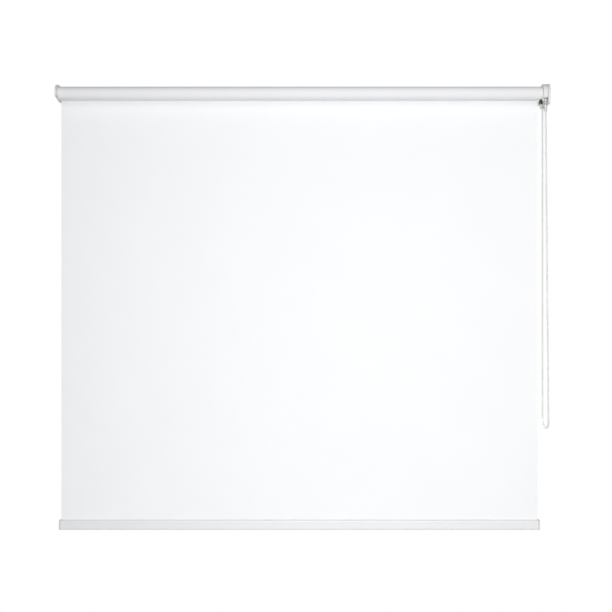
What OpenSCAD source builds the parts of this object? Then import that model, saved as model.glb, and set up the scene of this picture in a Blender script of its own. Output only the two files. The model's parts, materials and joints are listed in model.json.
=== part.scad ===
// Chain-operated roller blind, shown lowered.
// X runs along the roller, -Y faces the room, +Z is up.
// The origin lies on the wall, level with the roller's axis and midway between the brackets' screws.

/* [Overall] */
// Width over the outer faces of both bracket covers
blind_w = 992; // [700:1:1800]
// Height from the roller's axis down to the underside of the bottom rail
drop_h = 883; // [760:1:2200]
// Distance from the wall to the roller's axis
axis_out = 24; // [22:0.5:40]

/* [Brackets] */
// Thickness of the steel side plate
plate_t = 1.8; // [1.2:0.1:3]
// Thickness of the steel wall flange
flange_t = 2; // [1.5:0.1:3]
// Width of the wall flange, along the roller
flange_w = 20; // [17:0.5:30]
// Height of the side plate above the axis
plate_top = 16; // [15:0.5:24]
// Depth of the left plate below the axis, next to the wall
left_bottom = 12.5; // [12.5:0.5:30]
// Depth of the right plate below the axis
right_bottom = 20; // [18:0.5:30]
// Reach of the side plate in front of the axis
plate_front = 16; // [16:0.5:26]
// Radius of the side plate's upper front corner
corner_r = 16; // [3:0.5:16]
// Radius of the side plate's two lower corners
nose_r = 4; // [2:0.5:6]
// Depth below the axis at which the front edge starts to slope back
nose_z = 3; // [0:0.5:8]
// Distance from the wall to the left plate's lower corner
foot_left = 8; // [7:0.5:20]
// Distance from the wall to the right plate's lower corner
foot_right = 34; // [12:0.5:36]
// Radius of each screw hole
screw_r = 2.5; // [2:0.1:3]
// Height between the two screw holes of a bracket
screw_span = 17; // [14:0.5:17]
// Distance from the plate's outer face to the column of screw holes
screw_in = 11.8; // [9:0.1:14]
// Thickness of the plastic covers' outer walls
cover_t = 2.2; // [1.6:0.1:4]
// How far the left cover stands round the edge of its plate
left_lip = 1.2; // [0.8:0.1:3]
// How far the right cover stands round the edge of its plate
right_lip = 2.6; // [0.8:0.1:3]
// How far the covers' rims reach past the plates' inner faces
rim_reach = 0.2; // [0:0.1:0.2]
// Gap between a cover's rim and the edge of its plate
cover_clear = 0.1; // [0.05:0.05:0.4]
// Depth of the recess behind each plate for the pin and the spigot
recess_depth = 1.4; // [0.8:0.1:1.4]
// Distance below the axis at which the thumb notch in the right cover's front edge starts
notch_z = 9; // [3:0.5:12]
// Height of the thumb notch
notch_h = 8; // [4:0.5:10]
// Depth of the thumb notch
notch_depth = 2.2; // [0.8:0.1:2.4]

/* [Roller tube] */
// Outer diameter of the aluminium tube
tube_od = 25; // [24.5:0.5:32]
// Wall of the aluminium tube
tube_wall = 1.2; // [0.9:0.05:1.5]
// Number of ribs inside the tube
rib_count = 4; // [3:1:6]
// Width of each rib
rib_w = 1.6; // [1:0.1:2.5]
// Height of each rib
rib_h = 1.1; // [0.6:0.1:1.4]
// Gap each side of a rib in the grooves of the two end fittings
rib_clear = 0.15; // [0.05:0.05:0.3]

/* [Fabric] */
// Thickness of the fabric
fabric_t = 0.4; // [0.2:0.05:0.7]
// Thickness of the turns of fabric left on the tube when the blind is down
wraps_t = 1.05; // [0.8:0.05:1.6]
// Thickness of the adhesive tape that holds the fabric
tape_t = 0.15; // [0.1:0.05:0.3]
// Width of the adhesive tape round the tube
tape_w = 12; // [6:1:18]
// Height below the axis at which the hanging sheet starts
sheet_top = 5; // [5:0.5:12]

/* [Idle end] */
// Gap between the left plate and the end plug
end_gap = 0.4; // [0.3:0.05:1]
// Thickness of the end plug's flange
plug_flange_t = 1.1; // [0.8:0.1:2]
// How far the end plug's flange stays inside the roll's surface
plug_under = 0.8; // [0.2:0.1:1]
// Length of the end plug inside the tube
plug_len = 28; // [24:1:40]
// Radius of the idle pin's nose
pin_r = 3; // [2:0.1:3.4]
// Running clearance round the idle pin
pin_clear = 0.06; // [0.02:0.01:0.1]
// How far the pin's nose reaches past the bracket plate's inner face
pin_reach = 2.6; // [2:0.1:3]
// Radius of the pin's shoulder
shoulder_r = 5; // [4.4:0.1:5.2]
// Thickness of the pin's shoulder
shoulder_t = 1.5; // [1:0.1:2.5]
// Radius of the pin's tail
tail_r = 2; // [1.5:0.1:2.2]
// Thickness of the plug's front wall, which guides the nose
plug_wall = 4.5; // [3:0.1:5.5]
// Thickness of the plug's back wall, which guides the tail
plug_back = 4; // [3:0.1:6]
// Radius of the spring's chamber in the plug
chamber_r = 5.6; // [5.4:0.1:6.5]
// Wire radius of the idle spring
spring_wire_r = 0.35; // [0.25:0.05:0.45]
// Mean radius of the idle spring
spring_r = 3.9; // [3.5:0.1:4.2]
// Turns of the idle spring
spring_turns = 8; // [5:1:10]
// Outer radius of the bush in the left plate
bush_r = 5; // [4.2:0.1:6]
// Radius of the bush's flange
bush_flange_r = 6.5; // [6.2:0.1:8]
// Thickness of the bush's flange
bush_flange_t = 0.25; // [0.2:0.05:0.25]
// Thickness of the clip on the pin's tail
tail_clip_t = 0.8; // [0.5:0.1:1.2]
// Radius of the clip on the pin's tail
tail_clip_r = 3.4; // [3:0.1:4.5]
// Length of tail past the clip
tail_over = 1.2; // [0.8:0.1:2]

/* [Clutch] */
// Gap between the chain guard and the right plate
guard_gap = 0.6; // [0.3:0.1:1.5]
// Width of the chain guard's round part, along the roller
guard_w = 9.2; // [8.8:0.1:14]
// Wall of the chain guard
guard_wall = 1; // [0.8:0.1:1.4]
// Wall of the guard's round rim
guard_rim = 2.3; // [1.2:0.1:2.5]
// Gap between the chain and the guard's rim
guard_clear = 1.4; // [0.5:0.1:1.5]
// Radius of the opening in the guard's side wall
guard_eye_r = 9.6; // [9.4:0.1:11]
// Height below the axis at which the guard's front ends
guard_front_z = 11; // [4:0.5:12]
// Depth of the guard's back tongue below the axis
tongue_z = 28; // [26:0.5:38]
// Wall of the tongue beside the strand, on the roller's side
tongue_side = 2.3; // [1.5:0.1:2.5]
// Wall of the tongue's tip beside the strand
tip_wall = 0.8; // [0.3:0.1:1]
// Height of the tongue's taper
tongue_taper = 4; // [3:0.5:10]
// Wall of the tongue in front of and behind the strand
tongue_wall = 1.5; // [1:0.1:2]
// Extra gap between the front strand and the edge of the guard's cut-out
strand_clear = 0.4; // [0.3:0.1:1]
// Gap between the strand and the tongue's channel
channel_clear = 0.7; // [0.5:0.1:1]
// Gap between the guard and the tube's collar
hub_gap = 0.4; // [0.3:0.05:1]
// Width of the drive hub's collar
collar_w = 4.3; // [3:0.1:8]
// How far the drive hub's collar stays inside the roll's surface
collar_under = 0.3; // [0.2:0.1:1]
// Length of the drive hub inside the tube
hub_len = 33.5; // [30:0.5:50]
// Bore radius of the drive hub
hub_bore_r = 9; // [8.9:0.1:9.4]
// Thickness of the drive hub's end wall
hub_end_t = 3.2; // [2.5:0.1:5]
// Width of the chain wheel
wheel_w = 7; // [6.8:0.1:7.2]
// How far the chain wheel's rims stand out past the beads' centres
wheel_rim = 1.9; // [1:0.1:2]
// Gap each side of the chain wheel
wheel_gap = 0.3; // [0.3:0.05:0.5]
// Radius of the clutch core that the wheel and the springs turn on
core_r = 6; // [5.6:0.1:6.2]
// Running clearance of the wheel and the hub on the core
run_clear = 0.06; // [0.02:0.01:0.1]
// Radius of the core's tip
tip_r = 4; // [3:0.1:4.8]
// Radius of the core's flange against the right plate
core_flange_r = 9.5; // [8.5:0.1:11]
// Side of the core's square spigot
spigot = 8; // [6:0.1:10]
// Gap round the spigot in the right plate
spigot_clear = 0.1; // [0.05:0.05:0.2]
// How far the spigot reaches past the right plate's inner face
spigot_reach = 2.6; // [2:0.1:3]
// Wire radius of the wrap springs
wrap_wire_r = 0.4; // [0.3:0.05:0.4]
// Mean radius of the wrap springs
wrap_r = 6.85; // [6.85:0.05:6.95]
// Turns of each wrap spring
wrap_turns = 5; // [3:1:8]
// Number of wrap springs
wrap_count = 3; // [1:1:3]
// Inner radius of the wheel's driving finger and of the hub's lug
finger_r = 7.6; // [7.5:0.1:7.8]
// Radial thickness of the wheel's driving finger
finger_t = 1; // [0.8:0.1:1.1]
// Angle that the wheel's driving finger spans
finger_span = 120; // [60:5:150]
// Angle that the hub's lug spans
lug_span = 60; // [30:5:90]
// How far the lug is rooted in the hub's wall
lug_root = 0.5; // [0.2:0.1:0.8]
// Width of the chain stripper
stripper_w = 5.6; // [5.4:0.1:6.4]
// How far the chain stripper stands out of the guard towards the roller
stripper_out = 4.2; // [2:0.1:4.2]
// Length of the chain stripper, front to back
stripper_len = 10; // [6:0.5:12]
// Depth of the chain stripper below the axis
stripper_z = 21; // [19:0.5:24]
// Gap between the chain stripper and what turns above it
stripper_clear = 0.5; // [0.3:0.1:1]
// Thickness of the clip on the core's tip
core_clip_t = 0.8; // [0.5:0.1:1.2]
// Radius of the clip on the core's tip
core_clip_r = 6.2; // [5.4:0.1:7]
// Radius of the washer between the wheel and the core's flange
washer_r = 8.6; // [7:0.1:9]
// Thickness of the washer
washer_t = 0.25; // [0.2:0.05:0.25]

/* [Chain] */
// Diameter of the beads
bead_d = 4.5; // [3.7:0.1:4.8]
// Distance from bead to bead
bead_pitch = 6; // [5.6:0.1:6.6]
// Number of bead pockets round the wheel
pockets = 12; // [11:1:14]
// Gap round a bead in its pocket
pocket_clear = 0.2; // [0.1:0.05:0.3]
// Width of the slot for the link between two beads
link_slot = 1.8; // [1.4:0.1:2.4]
// Length of the chain connector
connector_len = 12; // [10:0.5:16]
// Wall of the chain connector
connector_wall = 0.8; // [0.6:0.1:1.2]
// Gap between the chain connector and the chain
connector_clear = 0.35; // [0.3:0.05:0.5]
// Height of the connector's middle below the axis
connector_z = 32; // [30:0.5:60]

/* [Bottom rail] */
// Height of the rail
rail_h = 20; // [16:0.5:30]
// Thickness of the rail, front to back
rail_t = 11; // [9:0.5:14]
// Radius of the rail's long edges
rail_edge_r = 3; // [1:0.5:4]
// Wall of the rail
rail_wall = 1.2; // [1:0.1:1.6]
// How far the rail stands out past each edge of the fabric
rail_over = 0.8; // [0:0.1:6]
// Width of the slot in the top of the rail
throat_w = 1.6; // [1.4:0.1:2.4]
// Depth of the hem spline's axis below the top of the rail
spline_z = 5; // [4.6:0.1:6]
// Radius of the hem spline
spline_r = 2.5; // [2:0.1:2.6]
// Gap round the hem spline in the rail
spline_clear = 0.3; // [0.1:0.05:0.4]
// Width of the slot in the hem spline
spline_slot = 1; // [1:0.1:1.4]
// Thickness of the end caps
cap_t = 3; // [2:0.5:6]
// Length of each cap's tongue inside the rail
cap_plug = 14; // [8:1:30]
// Gap round a cap's tongue
cap_clear = 0.1; // [0.05:0.05:0.3]

/* [Hidden] */
$fn = 72;
cut = 1; // overshoot of every cutting shape

axis_y = -axis_out;

// Stations along the roller, from the left bracket to the right one
left_outer = -blind_w / 2;
left_plate_out = left_outer + cover_t;
left_plate_in = left_plate_out + plate_t;
plug_face = left_plate_in + end_gap;
sheet_x0 = plug_face + plug_flange_t;
right_outer = blind_w / 2;
right_plate_out = right_outer - cover_t;
right_plate_in = right_plate_out - plate_t;
guard_x1 = right_plate_in - guard_gap;
guard_x0 = guard_x1 - guard_w;
wheel_x0 = guard_x0 + guard_wall + wheel_gap;
wheel_x1 = wheel_x0 + wheel_w;
chain_x = (wheel_x0 + wheel_x1) / 2;
collar_x1 = guard_x0 - hub_gap;
sheet_x1 = collar_x1 - collar_w;

// Lower corners of the side plates
left_foot = [foot_left, left_bottom];
right_foot = [foot_right, right_bottom];

// Roller
tube_r = tube_od / 2;
tube_in_r = tube_r - tube_wall;
roll_r = tube_r + tape_t + wraps_t;
sheet_w = sheet_x1 - sheet_x0;
sheet_y = axis_y + roll_r - fabric_t / 2;
plug_flange_r = roll_r - plug_under;
collar_r = roll_r - collar_under;

// Idle end
plug_end = sheet_x0 + plug_len;
pin_tip = left_plate_in - pin_reach;
shoulder_x = plug_face + plug_wall;
chamber_end = plug_end - plug_back;
spring_x0 = shoulder_x + shoulder_t + spring_wire_r;
spring_x1 = chamber_end - spring_wire_r;
tail_clip_x = plug_end + 0.4;

// Clutch
pitch_r = bead_pitch * pockets / (2 * PI);
bead_r = bead_d / 2;
core_flange_x = wheel_x1 + wheel_gap;
hub_x0 = sheet_x1 - hub_len;
mandrel_x0 = hub_x0 + hub_end_t + wheel_gap;
core_clip_x = hub_x0 - wheel_gap - core_clip_t;
core_x0 = core_clip_x - 1;
wheel_r = pitch_r + wheel_rim;
guard_in_r = pitch_r + bead_r + guard_clear;
guard_r = guard_in_r + guard_rim;
channel_r = bead_r + channel_clear;
tongue_x0 = chain_x - channel_r - tongue_side;
tip_half = channel_r + tip_wall;
wrap_pitch = 2 * wrap_wire_r + 0.1;
wrap_len = wrap_turns * wrap_pitch;
wrap_room = sheet_x1 - mandrel_x0;
stripper_x0 = guard_x0 - stripper_out;

// Bottom rail
rail_bottom = -drop_h;
rail_top = rail_bottom + rail_h;
rail_x0 = sheet_x0 - rail_over;
rail_x1 = sheet_x1 + rail_over;
spline_axis = rail_top - spline_z;
keyhole_r = spline_r + spline_clear;
chamber_top = spline_axis - keyhole_r - rail_wall;
chamber_bottom = rail_bottom + rail_wall;
sheet_bottom = spline_axis;

// The chain's route: the offset along the roller from the wheel's middle, the offset from the
// axis in pitch radii, front to back, and the height. It runs down the front strand, round the
// bottom and up the back strand.
ROUTE = [
    [0, -1, -16], [0.7, -1, -96], [1.4, -1, -176], [2.1, -1, -256], [2.8, -1, -336],
    [3.5, -1, -416], [4.2, -1, -496], [4.9, -1, -576], [5.6, -1, -656],
    [5.9, -0.99, -661], [6.1, -0.92, -666], [5.8, -0.7, -670.5], [4.9, -0.38, -673], [3.4, 0, -674],
    [1.8, 0.38, -673], [0.7, 0.7, -670.5], [0.1, 0.92, -666], [0, 0.99, -661],
    [0, 1, -656], [0, 1, -576], [0, 1, -496], [0, 1, -416], [0, 1, -336],
    [0, 1, -256], [0, 1, -176], [0, 1, -96], [0, 1, -16]
];
route = [for (p = ROUTE) [chain_x + p[0], axis_y + pitch_r * p[1], p[2]]];
strand_run = ROUTE[8] - ROUTE[0];
connector_x = chain_x + strand_run[0] * (connector_z + ROUTE[0][2]) / -strand_run[2];
strand_lean = atan2(strand_run[0], -strand_run[2]);

// ---------- helpers ----------

function unit(v) = v / norm(v);

function arc(c, r, a0, a1, n = 10) =
    [for (i = [0:n]) let (a = a0 + (a1 - a0) * i / n) [c[0] + r * cos(a), c[1] + r * sin(a)]];

// Outline of a bracket's side plate in the YZ plane, grown by g everywhere but at the wall. The
// foot is the lower corner's distance from the wall and its depth below the axis.
function bracket_outline(foot, g) =
    let (
        front = axis_y - plate_front,
        c0 = [front + corner_r, plate_top - corner_r],
        c1 = [front + nose_r, -nose_z],
        c2 = [-foot[0], -foot[1] + nose_r],
        slope = 360 + atan2(c1[0] - c2[0], c2[1] - c1[1])
    )
    concat(
        [[0, plate_top + g]], arc(c0, corner_r + g, 90, 180), arc(c1, nose_r + g, 180, slope),
        arc(c2, nose_r + g, slope, 270), [[0, -foot[1] - g]]
    );

function heading(pts, i) = unit(pts[min(i + 1, len(pts) - 1)] - pts[max(i - 1, 0)]);

function tube_ring(p, t, r, n) =
    let (u = unit(cross(t, [1, 0, 0])), w = cross(t, u))
    [for (k = [0:n - 1]) p + r * (cos(360 * k / n) * u + sin(360 * k / n) * w)];

// A round bar of radius r and n sides that follows points which never head along X
module swept(pts, r, n) {
    rings = [for (i = [0:len(pts) - 1]) tube_ring(pts[i], heading(pts, i), r, n)];
    last = (len(pts) - 1) * n;
    polyhedron(
        points = [for (a = rings) each a],
        faces = concat(
            [[for (k = [0:n - 1]) k]],
            [for (i = [0:len(pts) - 2]) for (k = [0:n - 1])
                [i * n + (k + 1) % n, i * n + k, (i + 1) * n + k, (i + 1) * n + (k + 1) % n]],
            [[for (k = [n - 1:-1:0]) last + k]]
        )
    );
}

// A coil spring about the roller's axis
module coil(x0, x1, mean_r, wire_r, turns, steps = 20) {
    count = turns * steps;
    swept(
        [for (i = [0:count]) let (a = 360 * i / steps)
            [x0 + (x1 - x0) * i / count, axis_y + mean_r * cos(a), mean_r * sin(a)]],
        wire_r, 6
    );
}

// Extrudes a YZ outline along X
module along_x(x0, x1) {
    translate([x0, 0, 0]) rotate([90, 0, 90]) linear_extrude(x1 - x0) children();
}

// A disc or bar about the roller's axis
module round_bar(x0, x1, r) {
    along_x(x0, x1) translate([axis_y, 0]) circle(r);
}

module ring_bar(x0, x1, r, r_in) {
    along_x(x0, x1) translate([axis_y, 0]) difference() {
        circle(r);
        circle(r_in);
    }
}

// Part of a ring about the roller's axis, span degrees wide and centred on mid
module ring_sector(x0, x1, r, r_in, mid, span) {
    translate([x0, axis_y, 0]) rotate([0, 90, 0]) rotate([0, 0, mid - span / 2])
        rotate_extrude(angle = span) translate([r_in, 0]) square([r - r_in, x1 - x0]);
}

// Grooves in an end fitting for the tube's ribs
module rib_grooves(x0, x1) {
    for (i = [0:rib_count - 1])
        translate([x0 - cut, axis_y, 0]) rotate([360 * i / rib_count, 0, 0])
            translate([0, -rib_w / 2 - rib_clear, tube_in_r - rib_h - rib_clear])
                cube([x1 - x0 + 2 * cut, rib_w + 2 * rib_clear, tube_in_r]);
}

module rail_outline() {
    y = rail_t / 2 - rail_edge_r;
    z = rail_h / 2 - rail_edge_r;
    translate([sheet_y, rail_bottom + rail_h / 2]) polygon(concat(
        arc([y, z], rail_edge_r, 0, 90), arc([-y, z], rail_edge_r, 90, 180),
        arc([-y, -z], rail_edge_r, 180, 270), arc([y, -z], rail_edge_r, 270, 360)
    ));
}

// The rail's lower hollow, shrunk by g on every side
module rail_hollow(g) {
    translate([sheet_y - rail_t / 2 + rail_wall + g, chamber_bottom + g])
        square([rail_t - 2 * rail_wall - 2 * g, chamber_top - chamber_bottom - 2 * g]);
}

// ---------- brackets ----------

module bracket(foot) {
    difference() {
        union() {
            along_x(left_plate_out, left_plate_in) polygon(bracket_outline(foot, 0));
            translate([left_plate_out, -flange_t, -foot[1]])
                cube([flange_w, flange_t, plate_top + foot[1]]);
        }
        for (side = [-1, 1])
            translate([left_plate_out + screw_in, cut, side * screw_span / 2])
                rotate([90, 0, 0]) cylinder(r = screw_r, h = flange_t + 2 * cut);
        children();
    }
}

module bracket_cover(foot, lip) {
    difference() {
        along_x(left_outer, left_plate_in + rim_reach) polygon(bracket_outline(foot, lip));
        along_x(left_plate_out, left_plate_in + rim_reach + cut)
            polygon([for (p = bracket_outline(foot, cover_clear)) [p[0] == 0 ? cut : p[0], p[1]]]);
        children();
    }
}

module left_bracket() {
    color("gainsboro") bracket(left_foot)
        round_bar(left_plate_out - cut, left_plate_in + cut, bush_r);
}

module right_bracket() {
    hole = spigot + 2 * spigot_clear;
    color("gainsboro") mirror([1, 0, 0]) bracket(right_foot)
        along_x(left_plate_out - cut, left_plate_in + cut)
            translate([axis_y - hole / 2, -hole / 2]) square(hole);
}

module left_bracket_cover() {
    color("whitesmoke") bracket_cover(left_foot, left_lip)
        round_bar(left_plate_out - recess_depth, left_plate_out + cut, bush_flange_r);
}

module right_bracket_cover() {
    front = axis_y - plate_front - right_lip;
    color("whitesmoke") mirror([1, 0, 0]) bracket_cover(right_foot, right_lip) {
        union() {
            round_bar(left_plate_out - recess_depth, left_plate_out + cut, spigot);
            translate([left_outer - cut, front - cut, -notch_z - notch_h])
                cube([cover_t + plate_t + rim_reach + 2 * cut, cut + notch_depth, notch_h]);
        }
    }
}

module pin_bush() {
    color("white") difference() {
        union() {
            round_bar(left_plate_out, left_plate_in, bush_r);
            round_bar(left_plate_in, left_plate_in + bush_flange_t, bush_flange_r);
        }
        round_bar(left_plate_out - cut, left_plate_in + cut, pin_r + pin_clear);
    }
}

// ---------- roller ----------

module roller_tube() {
    color("silver") {
        ring_bar(sheet_x0, sheet_x1, tube_r, tube_in_r);
        for (i = [0:rib_count - 1])
            translate([sheet_x0, axis_y, 0]) rotate([360 * i / rib_count, 0, 0])
                translate([0, -rib_w / 2, tube_in_r - rib_h])
                    cube([sheet_w, rib_w, rib_h + tube_wall / 2]);
    }
}

module fabric_roll() {
    color("white") ring_bar(sheet_x0, sheet_x1, roll_r, tube_r + tape_t);
}

module fabric_tape() {
    span = tape_w / tube_r * 180 / PI;
    color("khaki") ring_sector(sheet_x0, sheet_x1, tube_r + tape_t, tube_r, 180, span);
}

module idle_plug() {
    color("whitesmoke") difference() {
        union() {
            round_bar(plug_face, sheet_x0, plug_flange_r);
            round_bar(sheet_x0, plug_end, tube_in_r);
        }
        round_bar(plug_face - cut, shoulder_x + cut, pin_r + pin_clear);
        round_bar(shoulder_x, chamber_end, chamber_r);
        round_bar(chamber_end - cut, plug_end + cut, tail_r + pin_clear);
        rib_grooves(sheet_x0 + cut, plug_end);
    }
}

module idle_pin() {
    color("silver") {
        round_bar(pin_tip, shoulder_x, pin_r);
        round_bar(shoulder_x, shoulder_x + shoulder_t, shoulder_r);
        round_bar(shoulder_x + shoulder_t, tail_clip_x + tail_clip_t + tail_over, tail_r);
    }
}

module idle_spring() {
    color("dimgray") coil(spring_x0, spring_x1, spring_r, spring_wire_r, spring_turns);
}

module pin_clip() {
    color("dimgray") ring_bar(tail_clip_x, tail_clip_x + tail_clip_t, tail_clip_r, tail_r);
}

// ---------- clutch ----------

module clutch_core() {
    color("dimgray") {
        round_bar(core_x0, mandrel_x0, tip_r);
        round_bar(mandrel_x0, core_flange_x, core_r);
        round_bar(core_flange_x, right_plate_in, core_flange_r);
        along_x(right_plate_in, right_plate_in + spigot_reach)
            translate([axis_y - spigot / 2, -spigot / 2]) square(spigot);
    }
}

module core_clip() {
    color("silver") ring_bar(core_clip_x, core_clip_x + core_clip_t, core_clip_r, tip_r);
}

module wheel_washer() {
    color("silver") ring_bar(core_flange_x - washer_t, core_flange_x, washer_r, core_r + run_clear);
}

module wrap_springs() {
    color("dimgray") for (i = [0:wrap_count - 1]) {
        x = mandrel_x0 + wrap_room * (i + 0.5) / wrap_count;
        coil(x - wrap_len / 2, x + wrap_len / 2, wrap_r, wrap_wire_r, wrap_turns);
    }
}

module drive_hub() {
    color("whitesmoke") {
        difference() {
            union() {
                round_bar(hub_x0, sheet_x1, tube_in_r);
                round_bar(sheet_x1, collar_x1, collar_r);
            }
            round_bar(hub_x0 + hub_end_t, collar_x1 + cut, hub_bore_r);
            round_bar(hub_x0 - cut, hub_x0 + hub_end_t + cut, tip_r + run_clear);
            rib_grooves(hub_x0, sheet_x1 - cut);
        }
        ring_sector(hub_x0 + hub_end_t - cut, sheet_x1, hub_bore_r + lug_root, finger_r, 0, lug_span);
    }
}

module chain_wheel() {
    color("silver") {
        difference() {
            round_bar(wheel_x0, wheel_x1, wheel_r);
            round_bar(wheel_x0 - cut, wheel_x1 + cut, core_r + run_clear);
            for (i = [0:pockets - 1])
                translate([chain_x, axis_y, 0]) rotate([(i + 0.5) * 360 / pockets, 0, 0])
                    translate([0, 0, pitch_r]) sphere(bead_r + pocket_clear);
            ring_bar(chain_x - link_slot / 2, chain_x + link_slot / 2, wheel_r + cut,
                pitch_r - link_slot / 2);
        }
        ring_sector(mandrel_x0, wheel_x0 + cut, finger_r + finger_t, finger_r, 180, finger_span);
    }
}

// The guard's tongue from in front, tapered to its tip
module tongue() {
    tip = -tongue_z;
    shoulder = tip + tongue_taper;
    depth = 2 * (channel_r + tongue_wall);
    translate([0, axis_y + pitch_r + depth / 2, 0]) rotate([90, 0, 0]) linear_extrude(depth)
        polygon([
            [tongue_x0, -nose_r], [tongue_x0, shoulder], [chain_x - tip_half, tip],
            [chain_x + tip_half, tip], [guard_x1, shoulder], [guard_x1, -nose_r]
        ]);
}

module chain_guard() {
    color("silver") difference() {
        union() {
            round_bar(guard_x0, guard_x1, guard_r);
            tongue();
        }
        round_bar(guard_x0 + guard_wall, guard_x1 + cut, guard_in_r);
        round_bar(guard_x0 - cut, guard_x0 + guard_wall + cut, guard_eye_r);
        round_bar(guard_x0 - 2 * cut, guard_x0, collar_r + hub_gap);
        translate([chain_x, axis_y + pitch_r, -tongue_z - cut]) cylinder(r = channel_r, h = tongue_z);
        translate([guard_x0 - cut, axis_y - guard_r - cut, -guard_r - cut])
            cube([guard_w + 2 * cut, guard_r + cut - pitch_r + channel_r + strand_clear,
                guard_r + cut - guard_front_z]);
        stripper_block();
    }
}

// The stripper before the room for the collar and the chain is cut from its top
module stripper_block() {
    translate([stripper_x0, axis_y - stripper_len / 2, -stripper_z])
        cube([stripper_w, stripper_len, stripper_z - core_flange_r]);
}

module chain_stripper() {
    color("black") difference() {
        stripper_block();
        round_bar(stripper_x0 - cut, guard_x0, collar_r + stripper_clear);
        round_bar(guard_x0 - cut, stripper_x0 + stripper_w + cut,
            pitch_r + bead_r + stripper_clear);
    }
}

// ---------- chain ----------

module bead_chain() {
    color("lightgray") swept(route, bead_r, 8);
}

module chain_connector() {
    bore_r = bead_r + connector_clear;
    color("silver") translate([connector_x, axis_y - pitch_r, -connector_z])
        rotate([0, -strand_lean, 0]) difference() {
            cylinder(r = bore_r + connector_wall, h = connector_len, center = true);
            cylinder(r = bore_r, h = connector_len + 2 * cut, center = true);
        }
}

// ---------- sheet and rail ----------

module fabric_sheet() {
    color("white") translate([sheet_x0, sheet_y - fabric_t / 2, sheet_bottom])
        cube([sheet_w, fabric_t, -sheet_top - sheet_bottom]);
}

module hem_spline() {
    color("whitesmoke") along_x(rail_x0, rail_x1) translate([sheet_y, spline_axis]) difference() {
        circle(spline_r);
        translate([-spline_slot / 2, -spline_slot / 2]) square([spline_slot, spline_r + cut]);
    }
}

module bottom_rail() {
    color("lightgray") along_x(rail_x0, rail_x1) difference() {
        rail_outline();
        rail_hollow(0);
        translate([sheet_y, spline_axis]) circle(keyhole_r);
        translate([sheet_y - throat_w / 2, spline_axis]) square([throat_w, spline_z + cut]);
    }
}

module rail_cap(x0, x1, inner) {
    color("silver") {
        along_x(x0, x1) rail_outline();
        along_x(min(inner, inner + sign(x0 + x1 - 2 * inner) * -cap_plug),
            max(inner, inner + sign(x0 + x1 - 2 * inner) * -cap_plug)) rail_hollow(cap_clear);
    }
}

module rail_cap_left() {
    rail_cap(rail_x0 - cap_t, rail_x0, rail_x0);
}

module rail_cap_right() {
    rail_cap(rail_x1, rail_x1 + cap_t, rail_x1);
}

left_bracket();
right_bracket();
left_bracket_cover();
right_bracket_cover();
pin_bush();
roller_tube();
fabric_roll();
fabric_tape();
idle_plug();
idle_pin();
idle_spring();
pin_clip();
clutch_core();
core_clip();
wheel_washer();
wrap_springs();
drive_hub();
chain_wheel();
chain_guard();
chain_stripper();
bead_chain();
chain_connector();
fabric_sheet();
hem_spline();
bottom_rail();
rail_cap_left();
rail_cap_right();
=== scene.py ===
"""Looks of a chain-operated roller blind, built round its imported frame.

Lengths are metres in the frame's own axes: X runs along the roller, -Y faces the room and +Z is up.
The origin lies on the wall, level with the roller's axis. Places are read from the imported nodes, so
that every piece lies where its solid is.
"""

import json
import logging
import math
from dataclasses import dataclass
from enum import Enum

import bmesh
import bpy
from mathutils import Matrix, Vector


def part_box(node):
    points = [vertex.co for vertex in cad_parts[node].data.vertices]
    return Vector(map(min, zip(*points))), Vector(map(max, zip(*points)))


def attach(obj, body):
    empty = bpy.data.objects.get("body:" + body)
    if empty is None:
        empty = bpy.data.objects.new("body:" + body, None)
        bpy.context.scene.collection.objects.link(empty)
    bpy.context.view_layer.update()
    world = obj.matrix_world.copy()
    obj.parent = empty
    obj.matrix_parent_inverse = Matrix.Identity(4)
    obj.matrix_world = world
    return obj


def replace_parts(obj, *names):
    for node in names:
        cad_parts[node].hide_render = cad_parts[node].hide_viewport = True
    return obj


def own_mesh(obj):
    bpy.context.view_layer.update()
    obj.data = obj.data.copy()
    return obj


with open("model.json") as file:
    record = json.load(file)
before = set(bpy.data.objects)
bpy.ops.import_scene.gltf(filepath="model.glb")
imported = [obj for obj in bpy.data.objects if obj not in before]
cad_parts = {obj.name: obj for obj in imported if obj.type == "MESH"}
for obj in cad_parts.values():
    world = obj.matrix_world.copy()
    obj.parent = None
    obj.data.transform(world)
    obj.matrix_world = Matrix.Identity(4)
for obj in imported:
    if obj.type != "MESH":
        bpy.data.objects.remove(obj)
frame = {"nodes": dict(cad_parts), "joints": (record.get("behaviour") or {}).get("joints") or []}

LOG = logging.getLogger("roller_blind")
MM = 0.001
WEAVE_MAP = "Weave"
PLAIN_WHITE = (1.0, 1.0, 1.0, 1.0)
# Points closer together than this are one point.
SAME_POINT = 1e-7


class Face(Enum):
    """Where a pattern takes its coordinates from."""

    OBJECT = "object"
    WEAVE = "weave"


class Way(Enum):
    """How a drawn or turned metal's lines lie, as the stretch of their pattern."""

    ALONG_X = (0.02, 1.0, 1.0)
    ROUND = (1.0, 1.0, 1.0)


# ---------- shader maths ----------


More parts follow.
